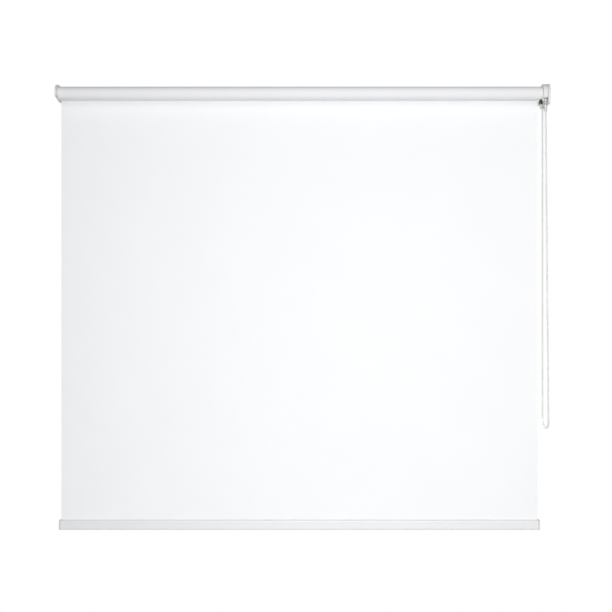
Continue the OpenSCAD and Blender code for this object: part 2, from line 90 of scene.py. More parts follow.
class Value:
    """A number or colour on its way through a shader, so that maths reads as Python."""

    def __init__(self, nodes: "Nodes", socket: bpy.types.NodeSocket) -> None:
        """Wraps one output socket.

        Args:
            nodes: The nodes that the socket belongs to.
            socket: The output socket.
        """
        self.nodes = nodes
        self.socket = socket

    def _maths(self, operation: str, first: object, second: object) -> "Value":
        """Adds one Math node and returns its result."""
        return self.nodes.value("ShaderNodeMath", {"operation": operation}, {0: first, 1: second})

    def __add__(self, other: object) -> "Value":
        """Adds a number or another value."""
        return self._maths("ADD", self, other)

    def __radd__(self, other: object) -> "Value":
        """Adds this value to a number."""
        return self._maths("ADD", other, self)

    def __sub__(self, other: object) -> "Value":
        """Takes a number or another value away."""
        return self._maths("SUBTRACT", self, other)

    def __rsub__(self, other: object) -> "Value":
        """Takes this value away from a number."""
        return self._maths("SUBTRACT", other, self)

    def __mul__(self, other: object) -> "Value":
        """Multiplies by a number or another value."""
        return self._maths("MULTIPLY", self, other)

    def __rmul__(self, other: object) -> "Value":
        """Multiplies a number by this value."""
        return self._maths("MULTIPLY", other, self)

    def power(self, exponent: float) -> "Value":
        """Raises this value to a power."""
        return self._maths("POWER", self, exponent)


class Nodes:
    """A node tree with one general way to add a node."""

    def __init__(self, tree: bpy.types.NodeTree) -> None:
        """Empties a tree and takes it over."""
        self.tree = tree
        self.tree.nodes.clear()

    def node(self, kind: str, settings: dict | None = None,
             sockets: dict | None = None) -> bpy.types.Node:
        """Adds a node.

        Args:
            kind: The node's type.
            settings: Its settings, which are set first. A list under "stops" fills a colour ramp.
            sockets: What each input socket gets, by name or number: a number, a colour or a Value.

        Returns:
            The new node.
        """
        made = self.tree.nodes.new(kind)
        for key, value in (settings or {}).items():
            if key == "stops":
                self._fill_ramp(made.color_ramp, value)
            else:
                setattr(made, key, value)
        for key, value in (sockets or {}).items():
            if isinstance(value, Value):
                self.tree.links.new(value.socket, made.inputs[key])
            else:
                made.inputs[key].default_value = value
        return made

    def value(self, kind: str, settings: dict | None = None, sockets: dict | None = None,
              output: str | int = 0) -> Value:
        """Adds a node and returns one of its outputs as a Value."""
        return Value(self, self.node(kind, settings, sockets).outputs[output])

    @staticmethod
    def _fill_ramp(ramp: bpy.types.ColorRamp, stops: list[tuple[float, float]]) -> None:
        """Gives a ramp its grey stops, each a position and a brightness."""
        while len(ramp.elements) < len(stops):
            ramp.elements.new(0.5)
        for element, (position, grey) in zip(ramp.elements, stops):
            element.position = position
            element.color = (grey, grey, grey, 1.0)

    def span(self, share: Value, across: tuple[float, float],
             ends: tuple[object, object] = (0.0, 1.0)) -> Value:
        """Spreads a value from one range over another and keeps it inside.

        Args:
            share: The value.
            across: The range that it is read on, in either direction.
            ends: What it becomes at the two ends.

        Returns:
            The value on its new range.
        """
        return self.value("ShaderNodeMapRange", {}, {
            "Value": share, "From Min": across[0], "From Max": across[1],
            "To Min": ends[0], "To Max": ends[1]})


class Shader(Nodes):
    """One material's nodes with its Principled surface."""

    # A Wave texture whose scale is 1 has this many bands to the metre.
    BANDS_AT_SCALE_ONE = 20.0 / math.tau

    def __init__(self, name: str) -> None:
        """Starts an empty material of that name."""
        self.material = bpy.data.materials.new(name)
        self.material.use_nodes = True
        super().__init__(self.material.node_tree)
        self.surface = self.node("ShaderNodeBsdfPrincipled")
        output = self.node("ShaderNodeOutputMaterial")
        self.tree.links.new(self.surface.outputs["BSDF"], output.inputs["Surface"])

    def place(self, face: Face, stretch: tuple[float, float, float] = (1.0, 1.0, 1.0)) -> Value:
        """Coordinates on the piece, in metres.

        Args:
            face: Whether they come from the object or from the cloth's own map.
            stretch: A factor for each axis.

        Returns:
            The coordinates.
        """
        if face is Face.WEAVE:
            raw = self.value("ShaderNodeUVMap", {"uv_map": WEAVE_MAP})
        else:
            raw = self.value("ShaderNodeTexCoord", output="Object")
        return self.value("ShaderNodeMapping", {}, {"Vector": raw, "Scale": stretch})

    def noise(self, at: Value, per_metre: float, detail: float = 3.0,
              roughness: float = 0.55) -> Value:
        """Soft noise from 0 to 1 with that many features to the metre."""
        return self.value(
            "ShaderNodeTexNoise", {},
            {"Vector": at, "Scale": per_metre, "Detail": detail, "Roughness": roughness}, "Fac")

    def bands(self, at: Value, per_metre: float, axis: str, wobble: float = 0.0) -> Value:
        """Smooth bands across one axis, from 0 to 1."""
        return self.value(
            "ShaderNodeTexWave",
            {"wave_type": "BANDS", "bands_direction": axis, "wave_profile": "SIN"},
            {"Vector": at, "Scale": per_metre / self.BANDS_AT_SCALE_ONE, "Distortion": wobble,
             "Detail": 1.0, "Detail Scale": 2.0}, "Fac")

    def blend(self, share: Value, dark: tuple[float, float, float],
              light: tuple[float, float, float]) -> Value:
        """A colour between two, by share."""
        mixed = self.node("ShaderNodeMix", {"data_type": "RGBA"}, {0: share})
        mixed.inputs[6].default_value = (*dark, 1.0)
        mixed.inputs[7].default_value = (*light, 1.0)
        return Value(self, mixed.outputs[2])

    def relief(self, height: Value, depth: float, strength: float = 1.0) -> None:
        """Puts a bump of that depth, in metres, on the surface."""
        sockets = {"Height": height, "Distance": depth, "Strength": strength}
        self.feed("Normal", self.value("ShaderNodeBump", {}, sockets, "Normal"))

    def feed(self, name: str, value: Value | float) -> None:
        """Sets or links one socket of the surface."""
        socket = self.surface.inputs[name]
        if isinstance(value, Value):
            self.tree.links.new(value.socket, socket)
        else:
            socket.default_value = value


# ---------- finishes ----------


@dataclass(frozen=True)
class Finish:
    """What a surface is made of, with the record's slot that it stands for."""

    name: str
    slot: str
    colour: tuple[float, float, float]
    roughness: float = 0.5

    def tone(self, factor: float) -> tuple[float, float, float]:
        """The finish's colour, lighter or darker by a factor."""
        return tuple(min(1.0, channel * factor) for channel in self.colour)

    def mottled(self, shader: Shader, share: Value, darkest: float, lightest: float) -> None:
        """Lets the colour vary between two tones.

        Args:
            shader: The shader that it is fed to.
            share: What the colour varies with, from 0 to 1.
            darkest: The darker tone, as a factor of the colour.
            lightest: The lighter tone.
        """
        shader.feed("Base Color", shader.blend(share, self.tone(darkest), self.tone(lightest)))

    def wire(self, shader: Shader) -> None:
        """Builds the surface's nodes. Each kind of finish has its own."""
        raise NotImplementedError

    def material(self) -> bpy.types.Material:
        """The finish's material, made when it is first asked for."""
        found = bpy.data.materials.get(self.name)
        if found is None:
            shader = Shader(self.name)
            self.wire(shader)
            found = shader.material
        return found


@dataclass(frozen=True)
class WovenCloth(Finish):
    """Plain-woven blind fabric with a stiffening coat."""

    # Threads to the metre across, and how many of them there are along, as a share.
    threads: float = 1700.0
    weft_share: float = 0.86
    thread_depth: float = 0.07 * MM
    face: Face = Face.WEAVE

    def wire(self, shader: Shader) -> None:
        """Warp and weft cross over each other, with slubs, a faint mottle, painted shade in the
        weave's hollows and a dry sheen.
        """
        at = shader.place(self.face)
        picks = self.threads * self.weft_share
        warp = shader.bands(at, self.threads, "X", wobble=0.6)
        weft = shader.bands(at, picks, "Y", wobble=0.6)
        over = shader.bands(at, self.threads / 2, "X") * shader.bands(at, picks / 2, "Y")
        slub = shader.noise(shader.place(self.face, (1.0, 0.06, 1.0)), 900.0, detail=2.0)
        mottle = shader.noise(at, 9.0, detail=4.0)
        height = warp * 0.45 + weft * 0.45 + over * 0.35 + slub * 0.3
        # The colour takes a little of the threads' height, so the hollows between them get painted
        # shade; mottle and slubs are the cloth's own.
        shade = mottle * 0.5 + slub * 0.25 + height * 0.2
        self.mottled(shader, shade, 0.965, 1.02)
        shader.feed("Roughness", self.roughness + slub * 0.08)
        shader.feed("Sheen Weight", 0.12)
        shader.feed("Sheen Roughness", 0.5)
        shader.feed("Specular IOR Level", 0.25)
        shader.relief(height, self.thread_depth, 0.55)


@dataclass(frozen=True)
class MouldedPlastic(Finish):
    """Injection-moulded plastic with a fine spark-eroded grain."""

    grain: float = 2600.0
    grain_depth: float = 0.03 * MM
    flow: float = 0.03

    def wire(self, shader: Shader) -> None:
        """A fine grain, faint flow marks and a little handling polish."""
        at = shader.place(Face.OBJECT)
        grain = shader.noise(at, self.grain, detail=2.0)
        flow = shader.noise(shader.place(Face.OBJECT, (1.0, 1.0, 0.35)), 70.0)
        polish = shader.noise(at, 35.0, detail=4.0)
        self.mottled(shader, flow, 1.0 - self.flow, 1.0 + self.flow)
        shader.feed("Roughness", self.roughness - 0.06 + polish * 0.12 + grain * 0.05)
        shader.feed("Coat Roughness", 0.35)
        shader.feed("IOR", 1.49)
        shader.relief(grain + polish * 0.4, self.grain_depth, 0.5)


@dataclass(frozen=True)
class CoatedMetal(Finish):
    """Powder-coated metal with a slight orange peel."""

    peel: float = 420.0
    peel_depth: float = 0.05 * MM

    def wire(self, shader: Shader) -> None:
        """Soft peel with specks of powder in it."""
        at = shader.place(Face.OBJECT)
        peel = shader.noise(at, self.peel, detail=2.0, roughness=0.45)
        speck = shader.noise(at, 3200.0, detail=1.0).power(3.0)
        cloud = shader.noise(at, 14.0)
        self.mottled(shader, cloud * 0.6 + speck * 0.4, 0.975, 1.02)
        shader.feed("Roughness", self.roughness + peel * 0.08)
        shader.feed("Coat Weight", 0.15 + cloud * 0.1)
        shader.feed("Coat Roughness", 0.3)
        shader.relief(peel + speck * 0.3, self.peel_depth, 0.5)


@dataclass(frozen=True)
class DrawnMetal(Finish):
    """Bare metal with the fine lines of drawing or turning, and small scratches."""

    way: Way = Way.ROUND
    lines: float = 1600.0
    line_depth: float = 0.02 * MM

    def wire(self, shader: Shader) -> None:
        """Lines along the draw, blotches of oxide and a few scratches."""
        at = shader.place(Face.OBJECT)
        lines = shader.noise(shader.place(Face.OBJECT, self.way.value), self.lines, roughness=0.6)
        oxide = shader.noise(at, 60.0, detail=4.0)
        nicks = shader.place(Face.OBJECT, (1.0, 0.12, 0.3))
        scratch = shader.noise(nicks, 900.0, detail=1.0).power(4.0)
        self.mottled(shader, oxide * 0.7 + lines * 0.3, 0.88, 1.05)
        shader.feed("Metallic", 1.0)
        shader.feed("Roughness", self.roughness + lines * 0.12 + scratch * 0.15)
        shader.relief(lines + scratch * 0.5, self.line_depth, 0.6)


# Each finish's name, its slot in the record, its colour and its roughness.
CLOTH = WovenCloth("white_blind_cloth", "white_fabric", (0.93, 0.94, 0.955), 0.84)
# The wound cloth is the hanging cloth in a darker tone, which paints shade on the roll.
WOUND_CLOTH_PAINTED_SHADE = WovenCloth("wound_cloth_painted_shade", "white_fabric", (0.85, 0.855, 0.87), 0.84)
WHITE_PLASTIC = MouldedPlastic("white_moulding", "white_plastic", (0.8, 0.8, 0.8), 0.42)
# The caps wear the white moulding in a darker tone, which paints shade on the rail's ends.
CAP_PLASTIC_PAINTED_SHADE = MouldedPlastic("cap_moulding_painted_shade", "white_plastic", (0.7, 0.7, 0.7), 0.45)
# A darker copy of the guard's grey moulding, which paints shade on its tongue below the roll.
TONGUE_PAINTED_SHADE_PLASTIC = MouldedPlastic("tongue_painted_shade", "grey_plastic", (0.6, 0.61, 0.57), 0.48)
GUARD_PLASTIC = MouldedPlastic("guard_moulding", "grey_plastic", (0.78, 0.78, 0.775), 0.44)
# The wheel's grey moulding made lighter than the guard's, which paints light into the shade of its
# cavity.
WHEEL_PLASTIC_PAINTED_LIGHT = MouldedPlastic("wheel_moulding_painted_light", "grey_plastic", (0.84, 0.84, 0.83), 0.45)
BLACK_PLASTIC = MouldedPlastic("black_nylon", "black_plastic", (0.012, 0.012, 0.013), 0.4,
                               flow=0.15)
WHITE_STEEL = CoatedMetal("white_coated_steel", "white_steel", (0.78, 0.78, 0.78), 0.38)
RAIL_COAT = CoatedMetal("white_coated_rail", "white_aluminium", (0.82, 0.82, 0.825), 0.4,
                        peel=520.0, peel_depth=0.03 * MM)
ALUMINIUM = DrawnMetal("drawn_aluminium", "bare_aluminium", (0.78, 0.79, 0.8), 0.34,
                       way=Way.ALONG_X)
WIRE = DrawnMetal("bright_wire", "spring_steel", (0.6, 0.6, 0.61), 0.28)
BEAD_METAL = DrawnMetal("nickel_beads", "chain_metal", (0.8, 0.8, 0.79), 0.14)
TAPE = MouldedPlastic("mounting_tape", "adhesive_tape", (0.78, 0.72, 0.52), 0.6, grain=900.0)


# ---------- pieces ----------


def shown(mesh: bmesh.types.BMesh, name: str, finish: Finish, body: str,
          smooth: float = 35.0) -> bpy.types.Object:
    """Turns a bmesh into a piece that wears a finish and rides on a body.

    Args:
        mesh: The finished shape, in the frame's axes. It is freed.
        name: The piece's name.
        finish: What it is made of.
        body: The body that it moves with.
        smooth: Edges sharper than this many degrees stay crisp.

    Returns:
        The piece.
    """
    data = bpy.data.meshes.new(name)
    mesh.normal_update()
    for face in mesh.faces:
        face.smooth = True
    for edge in mesh.edges:
        edge.smooth = not edge.is_manifold or edge.calc_face_angle(0.0) < math.radians(smooth)
    mesh.to_mesh(data)
    mesh.free()
    piece = bpy.data.objects.new(name, data)
    bpy.context.scene.collection.objects.link(piece)
    data.materials.append(finish.material())
    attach(piece, body)
    LOG.info("made %s: %d faces", name, len(data.polygons))
    return piece


def dress(node: str, finish: Finish) -> None:
    """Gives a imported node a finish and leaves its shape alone.

    Args:
        node: The node's name.
        finish: What it is made of.
    """
    piece = frame["nodes"][node]
    piece.data.materials.clear()
    piece.data.materials.append(finish.material())
    LOG.info("dressed %s", node)


def roller_axis() -> float:
    """The roller's axis' place along Y, which is negative."""
    return sum(corner.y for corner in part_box("fabric_roll")) / 2


def travel(name: str) -> float:
    """How far a sliding joint goes."""
    return next(joint for joint in frame["joints"] if joint["name"] == name)["range_m"][1]


def along_roller(x: float, axis_y: float) -> Matrix:
    """A matrix that lays a shape turned about Z round the roller's axis, from x on."""
    return Matrix.Translation((x, axis_y, 0.0)) @ Matrix.Rotation(math.radians(90.0), 4, "Y")


def lathe(profile: list[tuple[float, float]], place: Matrix, steps: int = 64) -> bmesh.types.BMesh:
    """Spins a closed outline of (radius, height) points about Z and puts it in place.

    Args:
        profile: The outline's points, in metres.
        place: Where the turned shape goes.
        steps: Segments in the full turn.

    Returns:
        The closed shape.
    """
    mesh = bmesh.new()
    points = [mesh.verts.new((radius, 0.0, height)) for radius, height in profile]
    edges = [mesh.edges.new(pair) for pair in zip(points, points[1:] + points[:1])]
    bmesh.ops.spin(mesh, geom=points + edges, cent=(0, 0, 0), axis=(0, 0, 1), dvec=(0, 0, 0),
                   angle=math.tau, steps=steps, use_merge=True)
    bmesh.ops.remove_doubles(mesh, verts=mesh.verts, dist=SAME_POINT)
    bmesh.ops.dissolve_degenerate(mesh, edges=mesh.edges, dist=SAME_POINT)
    bmesh.ops.recalc_face_normals(mesh, faces=mesh.faces)
    bmesh.ops.transform(mesh, matrix=place, verts=mesh.verts)
    return mesh


def ring_sector(mesh: bmesh.types.BMesh, profile: list[tuple[float, float]], axis_y: float,
                start: float, end: float, steps: int = 48) -> None:
    """Adds a closed part of a ring round the roller's axis.

    Args:
        mesh: The shape that it is added to.
        profile: The section's points, each a radius and a place along the roller.
        axis_y: The axis' distance from the wall, which is negative.
        start: The angle in degrees at which it starts, 0 facing the room and 90 up.
        end: The angle at which it ends.
        steps: The number of steps.
    """
    rings = []
    for i in range(steps + 1):
        angle = math.radians(start + (end - start) * i / steps)
        rings.append([
            mesh.verts.new((x, axis_y - radius * math.cos(angle), radius * math.sin(angle)))
            for radius, x in profile
        ])
    for ring, after in zip(rings, rings[1:]):
        for i in range(len(profile)):
            j = (i + 1) % len(profile)
            mesh.faces.new((ring[i], ring[j], after[j], after[i]))
    mesh.faces.new(rings[0])
    mesh.faces.new(reversed(rings[-1]))
    bmesh.ops.recalc_face_normals(mesh, faces=mesh.faces)


@dataclass
class Rounded:
    """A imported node's shape with its sharp edges broken, as a mould or a press leaves them."""

    node: str
    finish: Finish
    radius: float
    segments: int
    # Edges sharper than this many degrees are broken, and flatter than this many are merged.
    sharp: float = 32.0
    flat: float = 1.0

    def build(self, body: str) -> bpy.types.Object:
        """Makes the rounded piece, which stands for its node.

        Args:
            body: The body that it moves with.

        Returns:
            The piece.
        """
        mesh = bmesh.new()
        mesh.from_mesh(frame["nodes"][self.node].data)
        bmesh.ops.remove_doubles(mesh, verts=mesh.verts, dist=10 * SAME_POINT)
        bmesh.ops.dissolve_limit(mesh, angle_limit=math.radians(self.flat), verts=mesh.verts,
                                 edges=mesh.edges, use_dissolve_boundaries=False, delimit=set())
        piece = shown(mesh, f"{self.node}_body", self.finish, body)
        bevel = piece.modifiers.new("broken_edges", "BEVEL")
        bevel.width = self.radius
        bevel.segments = self.segments
        bevel.limit_method = "ANGLE"
        bevel.angle_limit = math.radians(self.sharp)
        bevel.miter_outer = "MITER_ARC"
        bevel.harden_normals = True
        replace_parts(piece, self.node)
        return piece


# ---------- the chain ----------

# The free loop from the wheel down the front strand and up the back one: millimetres along the
# roller, pitch radii of the wheel from the axis towards the wall, and millimetres up.
CHAIN_ROUTE = (
    (0, -1, -16), (0.7, -1, -96), (1.4, -1, -176), (2.1, -1, -256), (2.8, -1, -336),
    (3.5, -1, -416), (4.2, -1, -496), (4.9, -1, -576), (5.6, -1, -656),
    (5.9, -0.99, -661), (6.1, -0.92, -666), (5.8, -0.7, -670.5), (4.9, -0.38, -673),
    (3.4, 0, -674), (1.8, 0.38, -673), (0.7, 0.7, -670.5), (0.1, 0.92, -666), (0, 0.99, -661),
    (0, 1, -656), (0, 1, -576), (0, 1, -496), (0, 1, -416), (0, 1, -336),
    (0, 1, -256), (0, 1, -176), (0, 1, -96), (0, 1, -16),
)
# The route's point at the lower end of its straight front strand.
FRONT_END = 8


@dataclass
class BeadChain:
    """The endless bead chain: its free loop, the beads on the wheel and the connector."""

    bead: float = 4.5 * MM
    pitch: float = 6.0 * MM
    pockets: int = 12
    link: float = 1.3 * MM
    link_overlap: float = 0.3 * MM
    first_bead: float = 5.0 * MM
    straight_beads: int = 3
    sleeve_wall: float = 0.8 * MM
    sleeve_clear: float = 0.35 * MM
    sleeve_groove: float = 0.3 * MM

    def __post_init__(self) -> None:
        """Finds the wheel and turns the route into points in the frame."""
        low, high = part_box("chain_wheel")
        self.axis_y = (low.y + high.y) / 2
        self.reach = self.pitch * self.pockets / math.tau
        self.chain_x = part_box("bead_chain")[0].x + self.bead / 2
        self.path = [
            Vector((self.chain_x + along * MM, self.axis_y + across * self.reach, height * MM))
            for along, across, height in CHAIN_ROUTE
        ]

    def length(self) -> float:
        """The route's length."""
        return sum((b - a).length for a, b in zip(self.path, self.path[1:]))

    def at(self, distance: float) -> tuple[Vector, Vector]:
        """The point and the heading at a distance along the route."""
        for start, end in zip(self.path, self.path[1:]):
            step = (end - start).length
            if distance <= step:
                return start.lerp(end, distance / step), (end - start).normalized()
            distance -= step
        return self.path[-1].copy(), (self.path[-1] - self.path[-2]).normalized()

    def add_bead(self, mesh: bmesh.types.BMesh, point: Vector, heading: Vector) -> None:
        """Adds one bead with the link that joins it to the next.

        Args:
            mesh: The shape that it is added to.
            point: The bead's centre.
            heading: The direction of the chain there.
        """
        turn = heading.to_track_quat("Z", "Y").to_matrix().to_4x4()
        bmesh.ops.create_uvsphere(mesh, u_segments=12, v_segments=8, radius=self.bead / 2,
                                  matrix=Matrix.Translation(point) @ turn)
        middle = Matrix.Translation(point + heading * (self.pitch / 2))
        bmesh.ops.create_cone(mesh, cap_ends=False, segments=8, radius1=self.link / 2,
                              radius2=self.link / 2, matrix=middle @ turn,
                              depth=self.pitch - self.bead + 2 * self.link_overlap)

    def loop(self) -> bmesh.types.BMesh:
        """The free part of the chain, from the wheel down the front and up the back."""
        mesh = bmesh.new()
        run = self.length() - 2 * self.first_bead
        count = round(run / self.pitch)
        for i in range(count + 1):
            point, heading = self.at(self.first_bead + run * i / count)
            self.add_bead(mesh, point, heading)
        return mesh

    def over_wheel(self) -> bmesh.types.BMesh:
        """The beads that lie in the wheel's pockets and the short straights below them."""
        mesh = bmesh.new()
        spacing = math.tau / self.pockets
        for i in range(self.pockets // 2):
            angle = -math.pi / 2 + spacing * (i + 0.5)
            out = Vector((0.0, math.sin(angle), math.cos(angle)))
            ahead = Vector((0.0, math.cos(angle), -math.sin(angle)))
            centre = Vector((self.chain_x, self.axis_y, 0.0)) + out * self.reach
            self.add_bead(mesh, centre, ahead)
        for i in range(self.straight_beads):
            drop = -self.pitch * (i + 0.5)
            for side in (-1, 1):
                centre = Vector((self.chain_x, self.axis_y + side * self.reach, drop))
                self.add_bead(mesh, centre, Vector((0.0, 0.0, -side)))
        return mesh

    def connector(self) -> bmesh.types.BMesh:
        """The two-part sleeve that joins the chain's ends, with a snap rib and flared mouths."""
        low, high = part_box("chain_connector")
        half = (high.z - low.z) / 2
        inner = self.bead / 2 + self.sleeve_clear
        outer = inner + self.sleeve_wall
        waist = outer - self.sleeve_groove
        upper = [
            (waist, 0.5 * MM), (waist, half * 0.55), (outer, half * 0.62), (outer, half - 0.3 * MM),
            (outer - 0.25 * MM, half), (inner + 0.3 * MM, half), (inner, half - 0.4 * MM),
        ]
        rib = [(outer, -0.25 * MM), (outer, 0.25 * MM)]
        lower = [(radius, -height) for radius, height in reversed(upper)]
        lean = (self.path[FRONT_END] - self.path[0]).normalized()
        turn = lean.to_track_quat("-Z", "Y").to_matrix().to_4x4()
        return lathe(lower + rib + upper, Matrix.Translation((low + high) / 2) @ turn, 40)

    def build(self) -> None:
        connector = shown(self.connector(), "chain_connector_sleeve", BEAD_METAL, "connector")
        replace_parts(connector, "chain_connector")
        shown(self.over_wheel(), "beads_on_wheel", BEAD_METAL, "root")
        loop = shown(self.loop(), "bead_chain_loop", BEAD_METAL, "root")
        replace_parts(loop, "bead_chain")


# ---------- the cloth ----------


@dataclass
class Cloth:
    """The blind's one length of fabric: what hangs and what is still wound on the tube."""

    thickness: float = 0.4 * MM
    # The thickness that is shown and the step from turn to turn, as shares of the thickness.
    shown_share: float = 0.95
    lap_share: float = 0.98
    columns: int = 160
    rows: int = 120
    turns: float = 2.0
    turn_columns: int = 24
    turn_rows: int = 72
    # How far it bellies towards the room and its edges curl back.
    belly: float = 0.5 * MM
    curl: float = 0.2 * MM

    def __post_init__(self) -> None:
        """Reads the roll and the hanging sheet from the frame."""
        self.low, self.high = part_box("fabric_sheet")
        roll_low, roll_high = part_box("fabric_roll")
        self.axis_y = roller_axis()
        self.roll_r = (roll_high.y - roll_low.y) / 2
        self.width = self.high.x - self.low.x
        self.middle = (self.low.x + self.high.x) / 2
        self.drop = -self.low.z
        self.plane_y = self.axis_y + self.roll_r - self.thickness / 2

    @staticmethod
    def grid(width: float, length: float, columns: int, rows: int) -> bmesh.types.BMesh:
        """A flat sheet in the XY plane with a map of its own in metres.

        Args:
            width: Size along X.
            length: Size along Y, from 0 down to -length.
            columns: Faces along X.
            rows: Faces along Y.

        Returns:
            The sheet.
        """
        mesh = bmesh.new()
        bmesh.ops.create_grid(mesh, x_segments=columns, y_segments=rows, size=0.5)
        weave = mesh.loops.layers.uv.new(WEAVE_MAP)
        bmesh.ops.scale(mesh, vec=(width, length, 1.0), verts=mesh.verts)
        bmesh.ops.translate(mesh, vec=(0.0, -length / 2, 0.0), verts=mesh.verts)
        for face in mesh.faces:
            for loop in face.loops:
                loop[weave].uv = (loop.vert.co.x, loop.vert.co.y)
        return mesh

    def hang(self, across: float, down: float) -> float:
        """How far the hanging cloth stands in front of its plane.

        Args:
            across: Place from -1 at the left edge to 1 at the right one.
            down: Place from 0 at the roll to 1 at the rail.

        Returns:
            The distance towards the room.
        """
        free = math.sin(math.pi * min(1.0, down)) ** 0.8
        # Two slow ripples across the cloth, which drift a little on the way down.
        broad = math.sin(across * 5.3 + 0.7 + down * 0.9)
        narrow = 0.45 * math.sin(across * 11.9 - down * 1.7)
        hem = abs(across) ** 14
        return free * (self.belly * (broad + narrow) * 0.5 - self.curl * hem)

    def sheet(self) -> bmesh.types.BMesh:
        """The hanging length, from the back of the roll down into the rail's slot."""
        mesh = self.grid(self.width, self.drop, self.columns, self.rows)
        for vert in mesh.verts:
            out = self.hang(2 * vert.co.x / self.width, -vert.co.y / self.drop)
            vert.co = Vector((self.middle + vert.co.x, self.plane_y - out, vert.co.y))
        return mesh

    def roll(self) -> bmesh.types.BMesh:
        """The turns on the tube, as one spiral that ends where the sheet leaves it."""
        outer = self.roll_r - self.thickness / 2
        wound = math.tau * self.turns * (outer - self.thickness * self.turns / 2)
        mesh = self.grid(self.width, wound, self.turn_columns, round(self.turns * self.turn_rows))
        for vert in mesh.verts:
            angle = math.tau * self.turns * -vert.co.y / wound
            radius = outer - self.thickness * self.lap_share * angle / math.tau
            vert.co = Vector((self.middle + vert.co.x, self.axis_y + radius * math.cos(angle),
                              radius * math.sin(angle)))
        bmesh.ops.reverse_faces(mesh, faces=mesh.faces)
        return mesh

    def thicken(self, piece: bpy.types.Object) -> None:
        """Gives a sheet its thickness, half on each side, and even shading up to the hem."""
        solid = piece.modifiers.new("cloth_thickness", "SOLIDIFY")
        solid.thickness = self.thickness * self.shown_share
        solid.offset = 0.0
        normals = piece.modifiers.new("flat_to_the_hem", "WEIGHTED_NORMAL")
        normals.weight = 90

    def build(self) -> None:
        hanging = shown(self.sheet(), "hanging_cloth", CLOTH, "root", 80.0)
        self.thicken(hanging)
        1 - travel("rail_lift") / self.drop
        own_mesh(hanging)
        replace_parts(hanging, "fabric_sheet")
        # The roll wears the darker copy of the cloth, which is painted shade.
        wound = shown(self.roll(), "wound_cloth", WOUND_CLOTH_PAINTED_SHADE, "roller", 80.0)
        self.thicken(wound)
        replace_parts(wound, "fabric_roll")
        length = math.tau * self.turns * (self.roll_r - self.thickness * (self.turns + 1) / 2)


# ---------- the bottom rail ----------


